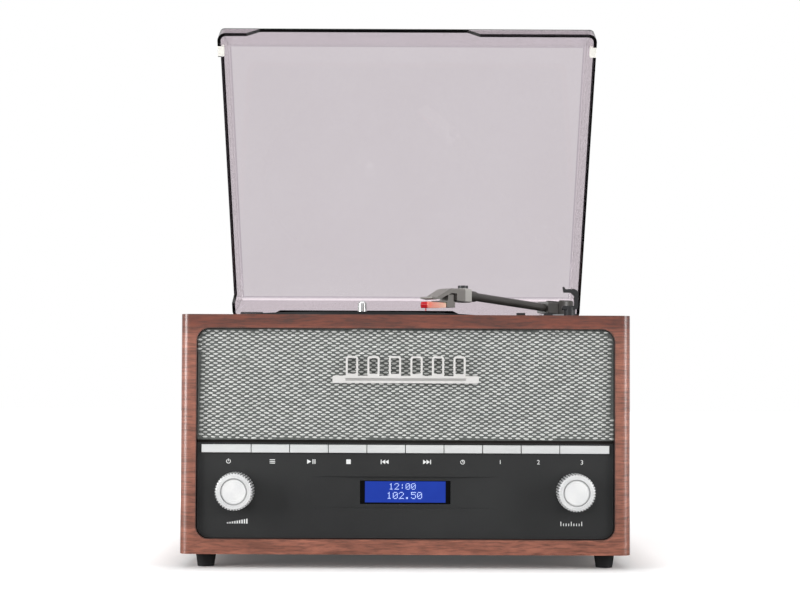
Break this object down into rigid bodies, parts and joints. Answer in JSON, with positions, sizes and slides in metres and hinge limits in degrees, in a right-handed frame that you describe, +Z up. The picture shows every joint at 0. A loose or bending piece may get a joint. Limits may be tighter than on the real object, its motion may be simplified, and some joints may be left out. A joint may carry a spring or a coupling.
{
  "type": "stereo music centre",
  "caption": "Retro stereo music centre: wooden case with cloth grille and radio controls, belt-drive turntable and tonearm under a hinged smoked clear lid.",
  "frame": {"origin": "bottom centre of the whole model, on the plane the feet stand on", "axes": "+X to the right seen from the front, +Y to the back, +Z up"},
  "size_m": [0.32, 0.3084, 0.4167],
  "materials": {
    "walnut_vinyl": "satin",
    "mdf_board": "matte",
    "rubber_black": "matte",
    "grille_weave": "woven",
    "silver_plastic": "metallic satin",
    "spun_aluminium": "spun",
    "charcoal_plastic": "satin",
    "deck_plastic": "fine texture",
    "arm_plastic": "satin",
    "head_plastic": "satin",
    "stylus_red": "translucent",
    "smoked_clear": "clear gloss",
    "bumper_white": "matte",
    "window_black": "gloss",
    "display_blue": "lit",
    "circuit_board": "matte",
    "speaker_black": "painted",
    "steel_plain": "plain",
    "switch_plastic": "matte",
    "plated_contact": "nickel plated",
    "bearing_brass": "plain",
    "platter_plastic": "satin"
  },
  "bodies": {
    "case": {"cabinet_shell": "walnut_vinyl", "feet": "rubber_black", "front_baffle": "mdf_board", "grille_cloth": "grille_weave", "badge": "silver_plastic", "control_fascia": "charcoal_plastic", "display_lens": "window_black", "display_module": "display_blue", "button_board": "circuit_board", "main_board": "circuit_board", "speaker_left": "speaker_black", "speaker_right": "speaker_black", "volume_encoder": "steel_plain", "tuning_encoder": "steel_plain", "rear_panel": "mdf_board", "rear_screws": "steel_plain", "rca_jacks": "plated_contact", "aux_jack": "switch_plastic", "dc_inlet": "switch_plastic", "aerial_socket": "plated_contact", "deck_plate": "deck_plastic", "spindle_bearing": "bearing_brass", "drive_motor": "steel_plain", "drive_belt": "rubber_black", "hinge_bases": "charcoal_plastic", "hinge_pins": "steel_plain", "tonearm_base": "deck_plastic", "arm_rest": "deck_plastic"},
    "lid": {"dust_cover": "smoked_clear", "lid_bumpers": "bumper_white", "lid_hinge_arms": "charcoal_plastic"},
    "platter": {"platter": "platter_plastic", "slip_mat": "rubber_black", "spindle": "bearing_brass"},
    "motor_rotor": {"motor_pulley": "bearing_brass"},
    "arm_swivel": {"tonearm_yoke": "deck_plastic"},
    "arm": {"tonearm_tube": "arm_plastic", "headshell": "head_plastic", "cartridge": "head_plastic", "stylus": "stylus_red"},
    "arm_lock": {"arm_clip": "deck_plastic"},
    "cue_arm": {"cue_lever": "deck_plastic"},
    "lifter": {"cue_lifter": "steel_plain"},
    "speed_slide": {"speed_selector": "deck_plastic"},
    "auto_stop_slide": {"auto_stop_switch": "deck_plastic"},
    "volume": {"volume_shaft": "steel_plain", "volume_knob": "spun_aluminium"},
    "select_plunger": {"tuning_plunger": "switch_plastic"},
    "tuning": {"tuning_shaft": "steel_plain", "tuning_knob": "spun_aluminium"},
    "key_1": {"button_1": "silver_plastic"},
    "key_2": {"button_2": "silver_plastic"},
    "key_3": {"button_3": "silver_plastic"},
    "key_4": {"button_4": "silver_plastic"},
    "key_5": {"button_5": "silver_plastic"},
    "key_6": {"button_6": "silver_plastic"},
    "key_7": {"button_7": "silver_plastic"},
    "key_8": {"button_8": "silver_plastic"},
    "key_9": {"button_9": "silver_plastic"},
    "key_10": {"button_10": "silver_plastic"}
  },
  "joints": [
    {"name": "lid_hinge", "type": "hinge", "parent": "case", "child": "lid", "pos_m": [0, 0.13035, 0.1838], "axis": [1, 0, 0], "range_deg": [0, 59.3]},
    {"name": "platter_spin", "type": "hinge", "parent": "case", "child": "platter", "pos_m": [-0.0349, -0.00265, 0.1822], "axis": [0, 0, 1], "continuous": true},
    {"name": "motor_spin", "type": "hinge", "parent": "case", "child": "motor_rotor", "pos_m": [-0.09288, -0.06064, 0.167], "axis": [0, 0, 1], "continuous": true},
    {"name": "arm_swing", "type": "hinge", "parent": "case", "child": "arm_swivel", "pos_m": [0.1306, 0.08435, 0.1942], "axis": [0, 0, 1], "range_deg": [-12, 36.4]},
    {"name": "arm_lift", "type": "hinge", "parent": "arm_swivel", "child": "arm", "pos_m": [0.1306, 0.08435, 0.1942], "axis": [-0.8049, 0.5934, 0], "range_deg": [0, 1.8]},
    {"name": "arm_lock_flip", "type": "hinge", "parent": "case", "child": "arm_lock", "pos_m": [0.1358, -0.00165, 0.19936], "axis": [0, 1, 0], "range_deg": [0, 60]},
    {"name": "cue_lever_tilt", "type": "hinge", "parent": "case", "child": "cue_arm", "pos_m": [0.1396, 0.06435, 0.1842], "axis": [-1, 0, 0], "range_deg": [0, 40]},
    {"name": "lifter_rise", "type": "slide", "parent": "case", "child": "lifter", "axis": [0, 0, 1], "range_m": [0, 0.000676]},
    {"name": "speed_slide", "type": "slide", "parent": "case", "child": "speed_slide", "axis": [0, 1, 0], "range_m": [-0.006, 0.006]},
    {"name": "auto_stop_slide", "type": "slide", "parent": "case", "child": "auto_stop_slide", "axis": [0, 1, 0], "range_m": [0, 0.006]},
    {"name": "volume_turn", "type": "hinge", "parent": "case", "child": "volume", "pos_m": [-0.1202, -0.13765, 0.0549], "axis": [0, 1, 0], "continuous": true},
    {"name": "select_push", "type": "slide", "parent": "case", "child": "select_plunger", "axis": [0, 1, 0], "range_m": [0, 0.0006], "stiffness_N_per_m": 900, "springref_m": -0.0004},
    {"name": "tuning_turn", "type": "hinge", "parent": "select_plunger", "child": "tuning", "pos_m": [0.1202, -0.13765, 0.0549], "axis": [0, 1, 0], "continuous": true},
    {"name": "key_1_press", "type": "slide", "parent": "case", "child": "key_1", "axis": [0, 1, 0], "range_m": [0, 0.0008], "stiffness_N_per_m": 600, "springref_m": -0.0005},
    {"name": "key_2_press", "type": "slide", "parent": "case", "child": "key_2", "axis": [0, 1, 0], "range_m": [0, 0.0008], "stiffness_N_per_m": 600, "springref_m": -0.0005},
    {"name": "key_3_press", "type": "slide", "parent": "case", "child": "key_3", "axis": [0, 1, 0], "range_m": [0, 0.0008], "stiffness_N_per_m": 600, "springref_m": -0.0005},
    {"name": "key_4_press", "type": "slide", "parent": "case", "child": "key_4", "axis": [0, 1, 0], "range_m": [0, 0.0008], "stiffness_N_per_m": 600, "springref_m": -0.0005},
    {"name": "key_5_press", "type": "slide", "parent": "case", "child": "key_5", "axis": [0, 1, 0], "range_m": [0, 0.0008], "stiffness_N_per_m": 600, "springref_m": -0.0005},
    {"name": "key_6_press", "type": "slide", "parent": "case", "child": "key_6", "axis": [0, 1, 0], "range_m": [0, 0.0008], "stiffness_N_per_m": 600, "springref_m": -0.0005},
    {"name": "key_7_press", "type": "slide", "parent": "case", "child": "key_7", "axis": [0, 1, 0], "range_m": [0, 0.0008], "stiffness_N_per_m": 600, "springref_m": -0.0005},
    {"name": "key_8_press", "type": "slide", "parent": "case", "child": "key_8", "axis": [0, 1, 0], "range_m": [0, 0.0008], "stiffness_N_per_m": 600, "springref_m": -0.0005},
    {"name": "key_9_press", "type": "slide", "parent": "case", "child": "key_9", "axis": [0, 1, 0], "range_m": [0, 0.0008], "stiffness_N_per_m": 600, "springref_m": -0.0005},
    {"name": "key_10_press", "type": "slide", "parent": "case", "child": "key_10", "axis": [0, 1, 0], "range_m": [0, 0.0008], "stiffness_N_per_m": 600, "springref_m": -0.0005}
  ],
  "couplings": [
    {"joint": "motor_spin", "follows": "platter_spin", "ratio": 11.538},
    {"joint": "cue_lever_tilt", "follows": "arm_lift", "ratio": 22.222},
    {"joint": "lifter_rise", "follows": "arm_lift", "m_per_rad": 0.0215}
  ]
}
